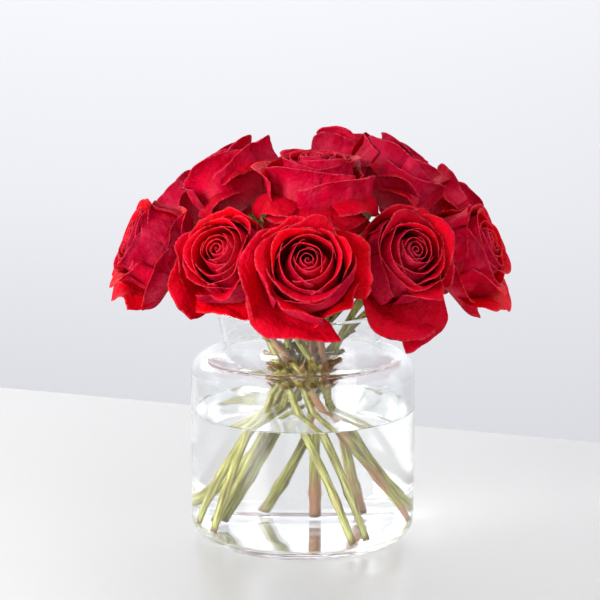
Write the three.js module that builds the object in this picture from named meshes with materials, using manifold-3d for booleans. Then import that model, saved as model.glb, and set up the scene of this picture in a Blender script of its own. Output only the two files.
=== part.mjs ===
// A dozen red roses standing in a clear glass vase of water, in millimetres, +Z up.
// The origin is the middle of the vase's flat base. -Y is the front of the bouquet and +X its right.
import * as THREE from "three";
import { mergeVertices } from "three/addons/utils/BufferGeometryUtils.js";
import Module from "manifold-3d";

// Driving dimensions
const gap = 0.3; // clearance between pieces that touch
const vase = {
  bodyRadius: 75,
  heelRadius: 13,
  shoulderStart: 112,
  shoulderDrop: 12, // the shoulder's lower and upper bends have this radius
  neckRadius: 54,
  lipRadius: 58,
  height: 156,
  wall: 3.2,
  floor: 6.5,
  segments: 32,
};
const waterLevel = 87;
const stemRadius = 2.6;
const stemSides = 6;
const bindingHeight = 108; // where the stems cross
const bloomDepth = 45; // from a bloom's base to its face
const petalThickness = 0.8;
const hipRadius = 4.6;
const hipLength = 9;
const sepalReach = 14;
const sepalDrop = 7;
const squeeze = 6; // how sharply petals draw in at the edge of a bloom's own space

// Where each rose sits: azimuths are from the front towards the right, in degrees. reach and height place
// the middle of its face, faceTurn and faceRise are the way it looks, and size is against a full bloom.
// flare is how far its outer petals stand up along the bud before they open out.
// binding and bindingRadius are where its stem passes the crossing, tipTurn and tipReach its cut end.
// Each guard is an outer petal: [turn round the face, reach, height of its rim, half width in degrees].
const roses = [
  {
    name: "front", turn: 1.4, reach: 124, height: 211,
    faceTurn: 1, faceRise: 27, flare: 0, size: 1.02, spin: 20,
    binding: 82, bindingRadius: 16, tipTurn: 152, tipReach: 50,
    guards: [[243, 43, 12, 50], [320, 37, 18, 40], [20, 40, 22, 44], [96, 36, 24, 44], [172, 44, 20, 46]],
  },
  {
    name: "front_left", turn: -32.5, reach: 102, height: 211,
    faceTurn: -27, faceRise: 28, flare: 0, size: 0.98, spin: 95,
    binding: 48, bindingRadius: 16, tipTurn: 122, tipReach: 56,
    guards: [[250, 40, 13, 44], [204, 46, 22, 38], [160, 44, 16, 42], [98, 38, 26, 46], [20, 34, 24, 40]],
  },
  {
    name: "front_right", turn: 40, reach: 112, height: 210,
    faceTurn: 29, faceRise: 27, flare: 0, size: 1, spin: 200,
    binding: 116, bindingRadius: 16, tipTurn: 196, tipReach: 55,
    guards: [[319, 55, 10, 45], [234, 42, 13, 44], [160, 44, 20, 40], [92, 50, 26, 40], [16, 42, 22, 44]],
  },
  {
    name: "left", turn: -79, reach: 118.5, height: 207,
    faceTurn: -80, faceRise: 24, flare: 0.1, size: 1.02, spin: 310,
    binding: 4, bindingRadius: 16, tipTurn: 88, tipReach: 60,
    guards: [[254, 43, 30, 40], [336, 42, 20, 44], [40, 41, 18, 42], [96, 49, 17, 36], [190, 42, 16, 48]],
  },
  {
    name: "right", turn: 79, reach: 128, height: 205,
    faceTurn: 72, faceRise: 25, flare: 0.1, size: 1.04, spin: 150,
    binding: 154, bindingRadius: 16, tipTurn: 236, tipReach: 58,
    guards: [[282, 43, 31, 48], [216, 41, 20, 42], [147, 43, 17, 42], [92, 54, 11, 44], [10, 42, 18, 46]],
  },
  {
    name: "back_left", turn: -130, reach: 122, height: 208,
    faceTurn: -129, faceRise: 20, flare: 0.3, size: 1.04, spin: 40,
    binding: -48, bindingRadius: 16, tipTurn: 30, tipReach: 62,
    guards: [[270, 46, 10, 44], [342, 42, 16, 44], [64, 48, 18, 40], [126, 41, 18, 42], [198, 43, 14, 44]],
  },
  {
    name: "back", turn: 178, reach: 119, height: 219,
    faceTurn: 178, faceRise: 18, flare: 0.3, size: 1.06, spin: 262,
    binding: 258, bindingRadius: 16, tipTurn: 298, tipReach: 61,
    guards: [[258, 48, 8, 44], [330, 43, 15, 44], [42, 43, 18, 42], [114, 44, 20, 44], [186, 43, 14, 44]],
  },
  {
    name: "back_right", turn: 120, reach: 131, height: 213,
    faceTurn: 120, faceRise: 24, flare: 0.3, size: 1.04, spin: 120,
    binding: 208, bindingRadius: 16, tipTurn: 278, tipReach: 61,
    guards: [[276, 46, 8, 44], [348, 42, 16, 44], [60, 42, 20, 42], [136, 51, 22, 44], [204, 43, 14, 44]],
  },
  {
    name: "top_front", turn: 10, reach: 47, height: 265,
    faceTurn: 8, faceRise: 87, flare: 0.9, size: 0.98, spin: 75,
    binding: 96, bindingRadius: 6, tipTurn: 172, tipReach: 38,
    guards: [[192, 61, 21, 46], [262, 47, 17, 54], [330, 60, 21, 46], [28, 44, 24, 42], [112, 38, 28, 46]],
  },
  {
    name: "top_left", turn: -92, reach: 58, height: 258,
    faceTurn: -112, faceRise: 56, flare: 0.6, size: 1.02, spin: 180,
    binding: -24, bindingRadius: 6, tipTurn: 40, tipReach: 61,
    guards: [[58, 52, 30, 38], [348, 48, 22, 42], [126, 62, 26, 36], [206, 44, 14, 42], [290, 40, 12, 42]],
  },
  {
    name: "top_right", turn: 91, reach: 72, height: 261,
    faceTurn: 106, faceRise: 54, flare: 0.6, size: 1.02, spin: 300,
    binding: 170, bindingRadius: 6, tipTurn: 250, tipReach: 40,
    guards: [[84, 44, 18, 42], [146, 50, 28, 40], [200, 48, 20, 44], [288, 39, 14, 40], [4, 43, 20, 40]],
  },
  {
    name: "top_back", turn: 144, reach: 65, height: 260,
    faceTurn: 160, faceRise: 62, flare: 0.6, size: 1.04, spin: 10,
    binding: 250, bindingRadius: 6, tipTurn: 262, tipReach: 44,
    guards: [[256, 48, 28, 46], [330, 40, 18, 42], [44, 38, 14, 42], [112, 44, 12, 42], [186, 45, 20, 40]],
  },
];

// Where one bloom's outer petals lap over its neighbour's: [over, under, how far the plane between them
// leans, and how far it stands off towards the lower one].
const laps = [
  ["front", "front_left", 0.2, 6],
  ["front", "front_right", 0.2, 4],
  ["front", "top_front", 0.1, -11],
  ["front_left", "left", -0.1, 16],
  ["front_right", "right", -0.15, 7],
  ["front_left", "top_left", 0.1, -10],
  ["front_left", "top_front", 0, -8],
  ["front_right", "top_right", 0.1, -9],
  ["front_right", "top_front", 0, -8],
  ["top_front", "top_left", 0.1, 7],
  ["top_front", "top_right", 0.1, 7],
  ["top_left", "top_back", 0, 13],
  ["back_left", "top_left", 0, 5],
  ["back_right", "top_right", 0, 4],
];

// Petals change shape from the tight middle of a bloom (rank 0) to its open cup (rank 1).
// rim and belly are [distance from the bloom's axis, height], spread is half the width round the axis.
// Past rollStart, a share of the petal's length, its rim rolls outwards by roll degrees round rollRadius.
const petalStages = [
  { rank: 0, rim: [1.2, 39], belly: [8, 14], spread: 118, roll: 6, rollRadius: 2, rollStart: 0.8 },
  { rank: 0.35, rim: [10.5, 40], belly: [18, 10], spread: 100, roll: 26, rollRadius: 2.4, rollStart: 0.8 },
  { rank: 0.5, rim: [16.5, 39], belly: [25, 9], spread: 88, roll: 62, rollRadius: 3.4, rollStart: 0.76 },
  { rank: 0.75, rim: [22, 33], belly: [31, 6], spread: 74, roll: 88, rollRadius: 7.5, rollStart: 0.64 },
  { rank: 1, rim: [26, 23], belly: [34, 3], spread: 62, roll: 104, rollRadius: 11, rollStart: 0.54 },
];
// The source keeps these of the nested petals: [rank, turn in degrees].
const nestedPetals = [
  [0.4, 152],
  [0.44, 330],
  [0.76, 31],
  [0.77, 150],
  [0.78, 272],
];
// Cells across a petal, and the shares of its length where its facets bend.
const nestedFacets = { across: 4, along: [0, 0.35, 0.68, 1] };
const innerFacets = { across: 4, along: [0, 0.5, 1] };
const guardFacets = { across: 3, along: [0, 0.6, 1] };

const wasm = await Module();
wasm.setup();
const radians = THREE.MathUtils.degToRad;

// The way that an azimuth and a rise point.
function heading(turn, rise = 0) {
  const flat = Math.cos(radians(rise));
  return new THREE.Vector3(
    Math.sin(radians(turn)) * flat,
    -Math.cos(radians(turn)) * flat,
    Math.sin(radians(rise)),
  );
}

// The geometry as a solid, with its faces pointing out.
function solidOf(geometry) {
  const bare = geometry.clone();
  bare.deleteAttribute("normal");
  bare.deleteAttribute("uv");
  const merged = mergeVertices(bare, 1e-4);
  const corners = new Uint32Array(merged.index.array);
  const points = merged.attributes.position.array;
  const made = new wasm.Manifold(new wasm.Mesh({ numProp: 3, vertProperties: points, triVerts: corners }));
  if (made.volume() > 0) return made;
  for (let i = 0; i < corners.length; i += 3) {
    [corners[i + 1], corners[i + 2]] = [corners[i + 2], corners[i + 1]];
  }
  return new wasm.Manifold(new wasm.Mesh({ numProp: 3, vertProperties: points, triVerts: corners }));
}

function meshOf(solid, name, material) {
  const { vertProperties, triVerts, numProp, numVert } = solid.getMesh();
  const points = new Float32Array(numVert * 3);
  for (let i = 0; i < numVert; i++) {
    points.set(vertProperties.subarray(i * numProp, i * numProp + 3), i * 3);
  }
  const geometry = new THREE.BufferGeometry();
  geometry.setAttribute("position", new THREE.BufferAttribute(points, 3));
  geometry.setIndex(new THREE.BufferAttribute(triVerts, 1));
  geometry.computeVertexNormals();
  const mesh = new THREE.Mesh(geometry, material);
  mesh.name = name;
  return mesh;
}

// The largest body of a solid that cutting may have left in pieces.
function largestOf(solid) {
  return solid.decompose().sort((a, b) => b.volume() - a.volume())[0];
}

// Points on an arc from one angle to another, in degrees.
function arc(x, z, radius, from, to, steps) {
  return Array.from({ length: steps + 1 }, (_, i) => {
    const angle = radians(from + ((to - from) * i) / steps);
    return new THREE.Vector2(x + radius * Math.cos(angle), z + radius * Math.sin(angle));
  });
}

function revolve(points, segments) {
  return new THREE.LatheGeometry(points, segments).rotateX(Math.PI / 2);
}

// The vase's profile from the middle of its base out and up to the lip, grown inwards by inset.
function vaseProfile(inset, bottom) {
  const { bodyRadius, heelRadius, shoulderStart, shoulderDrop, neckRadius } = vase;
  const side = bodyRadius - inset;
  const heel = Math.max(heelRadius - inset, 4);
  const outerBend = bodyRadius - neckRadius - shoulderDrop + 3;
  const bendX = bodyRadius - outerBend;
  const neckX = neckRadius + shoulderDrop;
  const drop = Math.sqrt((outerBend + shoulderDrop) ** 2 - (bendX - neckX) ** 2);
  const split = (Math.atan2(drop, neckX - bendX) * 180) / Math.PI;
  return [
    new THREE.Vector2(0, bottom),
    ...arc(side - heel, bottom + heel, heel, -90, 0, 3),
    ...arc(bendX, shoulderStart, outerBend - inset, 0, split, 3),
    ...arc(neckX, shoulderStart + drop, shoulderDrop + inset, 180 + split, 180, 2).slice(1),
  ];
}

function makeVase() {
  const { lipRadius, height, wall, floor } = vase;
  const lip = arc(lipRadius - wall / 2, height - wall / 2, wall / 2, -10, 190, 2);
  const outside = vaseProfile(0, 0);
  const inside = vaseProfile(wall, floor).reverse();
  return solidOf(revolve([...outside, ...lip, ...inside], vase.segments));
}

function makeWater() {
  const inset = vase.wall + gap + 0.05;
  const wet = vaseProfile(inset, vase.floor + gap).filter((p) => p.y < waterLevel);
  const edge = vase.bodyRadius - inset;
  const surface = [new THREE.Vector2(edge, waterLevel), new THREE.Vector2(0, waterLevel)];
  return solidOf(revolve([...wet, ...surface], vase.segments));
}

// A rose's own frame: its base, its axis, and the directions to the right and up across its face.
function frameOf(rose) {
  const axis = heading(rose.faceTurn, rose.faceRise);
  const face = heading(rose.turn).multiplyScalar(rose.reach).setZ(rose.height);
  const depth = bloomDepth * rose.size;
  const base = face.clone().addScaledVector(axis, -depth);
  const right = new THREE.Vector3(0, 0, 1).cross(axis).normalize();
  const up = axis.clone().cross(right);
  const middle = base.clone().addScaledVector(axis, depth * 0.55);
  return { axis, base, right, up, middle };
}

// A point of a bloom's frame in the bouquet's.
function place(point, { base, right, up, axis }) {
  const across = base.clone().addScaledVector(right, point.x);
  return across.addScaledVector(up, point.y).addScaledVector(axis, point.z);
}

// The planes that keep each bloom clear of its neighbours, with the bloom on the low side of each.
function wallsOf(index) {
  const own = frames[index];
  return frames.flatMap((other, i) => {
    const away = other.middle.clone().sub(own.middle);
    const distance = away.length();
    if (i === index || distance > 130) return [];
    away.normalize();
    const pair = [roses[i].name, roses[index].name];
    const lap = laps.find(([over, under]) => pair.includes(over) && pair.includes(under));
    const side = lap && lap[0] === roses[index].name ? 1 : -1;
    const [lean, shift] = lap ? [-lap[2] * side, lap[3] * side] : [0, 0];
    const outward = own.axis.clone().add(other.axis).normalize();
    const normal = away.clone().addScaledVector(outward, lean).normalize();
    const share = roses[index].size / (roses[index].size + roses[i].size);
    const through = own.middle.clone().addScaledVector(away, distance * share + shift);
    return [{ normal, offset: normal.dot(through) - gap / 2 - petalThickness }];
  });
}

// How far a point of a bloom is drawn in towards its axis, as a share, to stay in the bloom's own space.
function roomAt(point, frame, walls) {
  const height = point.clone().sub(frame.base).dot(frame.axis);
  const middle = frame.base.clone().addScaledVector(frame.axis, height);
  const outward = point.clone().sub(middle);
  const crowding = walls.reduce((sum, { normal, offset }) => {
    const share = normal.dot(outward) / Math.max(offset - normal.dot(middle), 0.5);
    return sum + Math.max(share, 0) ** squeeze;
  }, 1);
  return crowding ** (-1 / squeeze);
}

// Draws a point of a bloom in towards its axis by a share.
function drawIn(point, frame, share) {
  const height = point.clone().sub(frame.base).dot(frame.axis);
  const middle = frame.base.clone().addScaledVector(frame.axis, height);
  return middle.lerp(point, share);
}

function mix(a, b, share) {
  return a + (b - a) * share;
}

function smooth(low, high, x) {
  const t = Math.min(Math.max((x - low) / (high - low), 0), 1);
  return t * t * (3 - 2 * t);
}

// A nested petal's shape at a rank, between two stages.
function nestedShape(rank, size) {
  const after = petalStages.findIndex((s) => s.rank >= rank && s.rank > 0);
  const [a, b] = [petalStages[after - 1], petalStages[after]];
  const share = (rank - a.rank) / (b.rank - a.rank);
  const between = (key) => mix(a[key], b[key], share);
  const pair = (key) => [0, 1].map((i) => mix(a[key][i], b[key][i], share) * size);
  return {
    root: [mix(1.5, 4.5, rank) * size, mix(7, 2, rank) * size],
    belly: pair("belly"),
    rim: pair("rim"),
    spread: between("spread") * 0.84,
    roll: between("roll"),
    rollRadius: between("rollRadius") * size,
    rollStart: between("rollStart"),
    wrap: mix(1, 0.85, rank),
    tuck: mix(0.6, 1.6, rank) * size,
    corner: mix(0.06, 0.44, rank),
    tipRound: mix(2.4, 1.2, rank),
    sideRoll: mix(0, 3, rank) * size,
  };
}

// A guard petal's shape: it leaves the base nearly flat and rolls back at its rim and sides.
function guardShape([, reach, lift, spread], size, flare) {
  const belly = [mix(reach * 0.66, 19, flare), mix(mix(2, lift, 0.1), lift * 1.25, flare)];
  return {
    root: [5 * size, mix(1.2, 5, flare)],
    belly: [belly[0] * size, belly[1] * size],
    rim: [(reach - 11) * size, (lift - 4) * size],
    spread: spread * 0.9,
    roll: 80,
    rollRadius: 11,
    rollStart: 0.66,
    wrap: 0.62,
    tuck: 1.2 * size,
    corner: 0.36,
    tipRound: 1.2,
    sideRoll: 3 * size,
  };
}

// A point of a petal in its frame: across runs from -1 to 1, and along from its root at 0 to its rim at 1.
function petalPoint(shape, turn, across, along) {
  const { root, belly, rim, rollStart, rollRadius } = shape;
  const tip = 1 + shape.corner * (0.25 - Math.abs(across) ** shape.tipRound);
  const drawn = along * tip;
  const reach = Math.min(drawn / rollStart, 1);
  const left = 1 - reach;
  const curve = (i) => left ** 2 * root[i] + 2 * left * reach * belly[i] + reach ** 2 * rim[i];
  const slope = (i) => 2 * left * (belly[i] - root[i]) + 2 * reach * (rim[i] - belly[i]);
  const length = Math.hypot(slope(0), slope(1));
  const [outX, outZ] = [slope(0) / length, slope(1) / length];
  const past = Math.max(0, (drawn - rollStart) / (1 - rollStart));
  const bend = radians(shape.roll) * past * (0.85 + 0.4 * across * across);
  const straight = Math.max(1 - radians(shape.roll) / 1.4, 0) * past * 4;
  const run = rollRadius * Math.sin(bend) + straight;
  const side = smooth(0.45, 1, Math.abs(across)) * smooth(0.3, 0.9, along) * shape.sideRoll;
  const fall = rollRadius * (1 - Math.cos(bend)) + side;
  const x = curve(0) + outX * run + outZ * fall + shape.tuck * across;
  const z = curve(1) + outZ * run - outX * fall;
  const width = mix(0.42, 1, smooth(0, 0.6, along));
  const bow = radians(shape.spread) * width * across * shape.wrap;
  const sideways = (x * Math.sin(bow)) / shape.wrap;
  const inwards = (x * (1 - Math.cos(bow))) / shape.wrap;
  const [c, s] = [Math.cos(radians(turn)), Math.sin(radians(turn))];
  return new THREE.Vector3((x - inwards) * c - sideways * s, (x - inwards) * s + sideways * c, z);
}

// A closed blade over a grid of points, with the same triangles on both faces.
function blade(facets, thickness, at) {
  const step = 0.02;
  const acrossCells = facets.across;
  const alongCells = facets.along.length - 1;
  const points = [];
  const corners = [];
  for (let j = 0; j <= alongCells; j++) {
    for (let i = 0; i <= acrossCells; i++) {
      const [across, along] = [(2 * i) / acrossCells - 1, facets.along[j]];
      const middle = at(across, along);
      const alongWay = at(across, Math.min(along + step, 1)).sub(at(across, Math.max(along - step, 0)));
      const acrossWay = at(Math.min(across + step, 1), along).sub(at(Math.max(across - step, -1), along));
      const normal = acrossWay.cross(alongWay).normalize();
      points.push(middle.clone().addScaledVector(normal, thickness / 2));
      points.push(middle.addScaledVector(normal, -thickness / 2));
    }
  }
  const row = acrossCells + 1;
  const corner = (i, j, back) => 2 * (j * row + i) + back;
  const quad = (a, b, c, d) => corners.push(a, b, c, a, c, d);
  for (let j = 0; j < alongCells; j++) {
    for (let i = 0; i < acrossCells; i++) {
      quad(corner(i, j, 0), corner(i + 1, j, 0), corner(i + 1, j + 1, 0), corner(i, j + 1, 0));
      corners.push(corner(i, j, 1), corner(i + 1, j + 1, 1), corner(i + 1, j, 1));
      corners.push(corner(i, j, 1), corner(i, j + 1, 1), corner(i + 1, j + 1, 1));
    }
  }
  const [side, end] = [acrossCells, alongCells];
  for (let i = 0; i < side; i++) {
    quad(corner(i, 0, 0), corner(i, 0, 1), corner(i + 1, 0, 1), corner(i + 1, 0, 0));
    quad(corner(i + 1, end, 0), corner(i + 1, end, 1), corner(i, end, 1), corner(i, end, 0));
  }
  for (let j = 0; j < end; j++) {
    quad(corner(0, j + 1, 0), corner(0, j + 1, 1), corner(0, j, 1), corner(0, j, 0));
    quad(corner(side, j, 0), corner(side, j, 1), corner(side, j + 1, 1), corner(side, j + 1, 0));
  }
  const geometry = new THREE.BufferGeometry();
  const values = new Float32Array(points.flatMap((p) => p.toArray()));
  geometry.setAttribute("position", new THREE.BufferAttribute(values, 3));
  geometry.setIndex(corners);
  return geometry;
}

// The tight heart that every petal of a bloom grows from.
function makeHeart(rose, frame) {
  const profile = [
    [0, gap],
    [5.5, gap + 0.2],
    [7.5, 7],
    [5.5, 26],
    [0, 38],
  ].map(([x, z]) => new THREE.Vector2(x * rose.size, z * rose.size));
  const geometry = revolve(profile, 6);
  const position = geometry.attributes.position;
  for (let i = 0; i < position.count; i++) {
    const point = place(new THREE.Vector3().fromBufferAttribute(position, i), frame);
    position.setXYZ(i, point.x, point.y, point.z);
  }
  return solidOf(geometry);
}

function makeBloom(index) {
  const rose = roses[index];
  const frame = frames[index];
  const walls = wallsOf(index);
  const petal = (shape, turn, facets) => {
    const loose = (across, along) => place(petalPoint(shape, turn, across, along), frame);
    return solidOf(
      blade(facets, petalThickness, (across, along) => {
        const shares = [0.2, 0.4, 0.6, 0.8, 1].map((part) => roomAt(loose(across, part), frame, walls));
        return drawIn(loose(across, along), frame, Math.min(...shares));
      }),
    );
  };
  const nested = nestedPetals.map(([rank, turn]) => {
    const facets = rank < 0.5 ? innerFacets : nestedFacets;
    return petal(nestedShape(rank, rose.size), rose.spin + turn, facets);
  });
  const guards = rose.guards.map((guard) => {
    return petal(guardShape(guard, rose.size, rose.flare), guard[0], guardFacets);
  });
  const bloom = wasm.Manifold.union([makeHeart(rose, frame), ...nested, ...guards]);
  return largestOf(bloom.asOriginal().simplify(0.26));
}

// A stem's line from its cut end in the water, through the crossing, to the bloom's base.
function stemLine(rose, frame, grow = 0) {
  const tilt = 0.55;
  const tipHeight = vase.floor + gap + 0.1 + stemRadius * tilt;
  const tip = heading(rose.tipTurn).multiplyScalar(rose.tipReach).setZ(tipHeight);
  const crossing = heading(rose.binding).multiplyScalar(rose.bindingRadius).setZ(bindingHeight);
  const way = crossing.clone().sub(tip).normalize();
  const end = frame.base.clone().addScaledVector(frame.axis, -hipLength * 0.6);
  tip.addScaledVector(way, -grow);
  const low = new THREE.CubicBezierCurve3(
    tip,
    tip.clone().lerp(crossing, 0.35),
    crossing.clone().addScaledVector(way, -24),
    crossing,
  );
  const high = new THREE.CubicBezierCurve3(
    crossing,
    crossing.clone().addScaledVector(way, 26),
    end.clone().addScaledVector(frame.axis, -16),
    end,
  );
  const line = new THREE.CurvePath();
  line.add(low);
  line.add(high);
  return line;
}

function makeTube(line, radius, steps) {
  const section = new THREE.Shape(
    Array.from({ length: stemSides }, (_, i) => {
      const angle = (2 * Math.PI * i) / stemSides;
      return new THREE.Vector2(radius * Math.cos(angle), radius * Math.sin(angle));
    }),
  );
  return solidOf(new THREE.ExtrudeGeometry(section, { steps, extrudePath: line }));
}

// The hip under a bloom's petals with its ring of five sepals turned down, in the bloom's frame.
function makeCalyx(index) {
  const walls = wallsOf(index);
  const rose = roses[index];
  const profile = [
    [0, -hipLength],
    [stemRadius + 0.2, -hipLength],
    [hipRadius, -4.5],
    [sepalReach, -sepalDrop - 0.9],
    [sepalReach, -sepalDrop],
    [hipRadius + 1, 0],
    [0, 0],
  ].map(([x, z]) => new THREE.Vector2(x, z));
  const calyx = revolve(profile, 10);
  const position = calyx.attributes.position;
  for (let i = 0; i < position.count; i++) {
    const point = new THREE.Vector3().fromBufferAttribute(position, i);
    const valley = Math.floor(i / profile.length) % 2 === 1;
    if (valley && Math.hypot(point.x, point.y) > hipRadius + 2) {
      point.multiplyScalar((hipRadius + 1.4) / sepalReach).setZ(point.z < -sepalDrop - 0.5 ? -1.6 : -0.7);
    }
    point.applyAxisAngle(new THREE.Vector3(0, 0, 1), radians(rose.spin));
    const loose = place(point, frames[index]);
    const placed = drawIn(loose, frames[index], roomAt(loose, frames[index], walls));
    position.setXYZ(i, placed.x, placed.y, placed.z);
  }
  return solidOf(calyx);
}

function makeStem(index) {
  const tube = makeTube(stemLine(roses[index], frames[index]), stemRadius, 10);
  return tube.add(makeCalyx(index)).asOriginal().simplify(0.05);
}

const frames = roses.map(frameOf);
const petalRed = new THREE.MeshStandardMaterial({
  name: "petal",
  color: 0xb3061c,
  roughness: 0.55,
  metalness: 0,
});
const stemGreen = new THREE.MeshStandardMaterial({
  name: "stem",
  color: 0x7d8a3a,
  roughness: 0.6,
  metalness: 0,
});
const clearGlass = new THREE.MeshStandardMaterial({
  name: "glass",
  color: 0xf2f7f7,
  roughness: 0.02,
  metalness: 0,
  transparent: true,
  opacity: 0.3,
});
const clearWater = new THREE.MeshStandardMaterial({
  name: "water",
  color: 0xeef6f8,
  roughness: 0.02,
  metalness: 0,
  transparent: true,
  opacity: 0.3,
});

const bouquet = new THREE.Group();
bouquet.name = "roses_in_a_vase";
bouquet.add(meshOf(makeVase(), "vase", clearGlass));
const holes = roses.map((rose, i) => makeTube(stemLine(rose, frames[i], 1), stemRadius + gap + 0.15, 10));
bouquet.add(meshOf(largestOf(makeWater().subtract(wasm.Manifold.union(holes))), "water", clearWater));
roses.forEach((rose, i) => {
  bouquet.add(meshOf(makeStem(i), `stem_${rose.name}`, stemGreen));
  bouquet.add(meshOf(makeBloom(i), `bloom_${rose.name}`, petalRed));
});

export default bouquet;
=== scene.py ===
import math

import bmesh
import bpy
import numpy as np
from mathutils import Matrix, Vector


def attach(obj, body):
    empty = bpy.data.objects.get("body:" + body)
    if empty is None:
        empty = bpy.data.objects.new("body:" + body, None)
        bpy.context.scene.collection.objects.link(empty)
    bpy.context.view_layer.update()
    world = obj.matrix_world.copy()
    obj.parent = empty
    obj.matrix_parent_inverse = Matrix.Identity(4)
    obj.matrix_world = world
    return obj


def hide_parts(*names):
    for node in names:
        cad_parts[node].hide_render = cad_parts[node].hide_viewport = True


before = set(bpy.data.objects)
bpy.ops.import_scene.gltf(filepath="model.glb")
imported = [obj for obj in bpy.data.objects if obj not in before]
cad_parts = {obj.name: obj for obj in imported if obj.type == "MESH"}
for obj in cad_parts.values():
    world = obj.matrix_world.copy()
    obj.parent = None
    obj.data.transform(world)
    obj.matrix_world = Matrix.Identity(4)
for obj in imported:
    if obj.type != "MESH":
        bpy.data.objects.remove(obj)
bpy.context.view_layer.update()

mm = 0.001
scene = bpy.context.scene
print("roses in a vase: frame loaded")

# Where each rose sits, in millimetres and degrees, as in the part's source. Azimuths run from the front
# towards the right. A guard is an outer petal: turn round the face, reach, height of its rim, half width.
# Some roses have more guards here than there. Tone ranges are the darkest and the lightest of a rose's
# petals; they also paint whole roses darker or lighter, as painted shade and light for how the light falls on
# them.
roses = [
    dict(
        name="front", turn=1.4, reach=124, height=211, faceTurn=1, faceRise=27,
        flare=0, size=1.02, spin=20, toneRangeWithShade=(0.25, 0.95),
        binding=82, bindingRadius=16, tipTurn=152, tipReach=50,
        guards=[(243, 43, 12, 50), (320, 37, 18, 40), (20, 40, 22, 44), (96, 36, 24, 44), (172, 44, 20, 46)],
    ),
    dict(
        name="front_left", turn=-32.5, reach=102, height=211, faceTurn=-27, faceRise=28,
        flare=0, size=0.98, spin=95, toneRangeWithShade=(0.45, 1),
        binding=48, bindingRadius=16, tipTurn=122, tipReach=56,
        guards=[(250, 40, 13, 44), (204, 46, 22, 38), (160, 44, 16, 42), (98, 38, 26, 46), (20, 34, 24, 40)],
    ),
    dict(
        name="front_right", turn=40, reach=112, height=210, faceTurn=29, faceRise=27,
        flare=0, size=1, spin=200, toneRangeWithShade=(0.05, 0.75),
        binding=116, bindingRadius=16, tipTurn=196, tipReach=55,
        guards=[(319, 55, 10, 45), (240, 44, 13, 52), (160, 44, 20, 40), (92, 50, 26, 40), (16, 42, 22, 44)],
    ),
    dict(
        name="left", turn=-79, reach=118.5, height=207, faceTurn=-80, faceRise=24,
        flare=0.1, size=1.02, spin=310, toneRangeWithShade=(0.25, 0.95),
        binding=4, bindingRadius=16, tipTurn=88, tipReach=60,
        guards=[(254, 43, 30, 40), (336, 42, 20, 44), (40, 41, 18, 42), (96, 49, 17, 36), (190, 42, 16, 48)],
    ),
    dict(
        name="right", turn=79, reach=128, height=205, faceTurn=72, faceRise=25,
        flare=0.1, size=1.04, spin=150, toneRangeWithShade=(0.5, 1),
        binding=154, bindingRadius=16, tipTurn=236, tipReach=58,
        guards=[(282, 43, 31, 48), (216, 41, 20, 42), (147, 43, 17, 42), (92, 54, 11, 44), (10, 42, 18, 46)],
    ),
    dict(
        name="back_left", turn=-130, reach=122, height=208, faceTurn=-129, faceRise=20,
        flare=0.3, size=1.04, spin=40, toneRangeWithShade=(0.25, 0.95),
        binding=-48, bindingRadius=16, tipTurn=30, tipReach=62,
        guards=[(270, 46, 10, 44), (342, 42, 16, 44), (64, 48, 18, 40), (126, 41, 18, 42), (198, 43, 14, 44)],
    ),
    dict(
        name="back", turn=178, reach=119, height=219, faceTurn=178, faceRise=18,
        flare=0.3, size=1.06, spin=262, toneRangeWithShade=(0.25, 0.95),
        binding=258, bindingRadius=16, tipTurn=298, tipReach=61,
        guards=[(258, 48, 8, 44), (330, 43, 15, 44), (42, 43, 18, 42), (114, 44, 20, 44), (186, 43, 14, 44)],
    ),
    dict(
        name="back_right", turn=120, reach=131, height=213, faceTurn=120, faceRise=24,
        flare=0.3, size=1.04, spin=120, toneRangeWithShade=(0.25, 0.95),
        binding=208, bindingRadius=16, tipTurn=278, tipReach=61,
        guards=[(276, 46, 8, 44), (348, 42, 16, 44), (60, 42, 20, 42), (136, 51, 22, 44), (204, 43, 14, 44)],
    ),
    dict(
        name="top_front", turn=10, reach=47, height=265, faceTurn=8, faceRise=87,
        flare=0.9, size=0.98, spin=75, toneRangeWithShade=(0.05, 0.65),
        binding=96, bindingRadius=6, tipTurn=172, tipReach=38,
        guards=[(192, 61, 21, 46), (262, 47, 17, 54), (330, 60, 21, 46), (28, 44, 24, 42), (112, 38, 28, 46),
                (232, 58, 6, 50), (306, 58, 6, 50)],
    ),
    dict(
        name="top_left", turn=-92, reach=58, height=258, faceTurn=-112, faceRise=56,
        flare=0.6, size=1.02, spin=180, toneRangeWithShade=(0.1, 0.8),
        binding=-24, bindingRadius=6, tipTurn=40, tipReach=61,
        guards=[(58, 52, 30, 38), (348, 48, 22, 42), (126, 62, 26, 36), (206, 44, 14, 42), (290, 40, 12, 42)],
    ),
    dict(
        name="top_right", turn=91, reach=72, height=261, faceTurn=106, faceRise=54,
        flare=0.6, size=1.02, spin=300, toneRangeWithShade=(0, 0.6),
        binding=170, bindingRadius=6, tipTurn=250, tipReach=40,
        guards=[(84, 44, 18, 42), (146, 50, 28, 40), (200, 48, 20, 44), (288, 39, 14, 40), (4, 43, 20, 40),
                (240, 46, 10, 46)],
    ),
    dict(
        name="top_back", turn=144, reach=65, height=260, faceTurn=160, faceRise=62,
        flare=0.6, size=1.04, spin=10, toneRangeWithShade=(0.15, 0.85),
        binding=250, bindingRadius=6, tipTurn=262, tipReach=44,
        guards=[(256, 48, 28, 46), (330, 40, 18, 42), (44, 38, 14, 42), (112, 44, 12, 42), (186, 45, 20, 40)],
    ),
]
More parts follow.
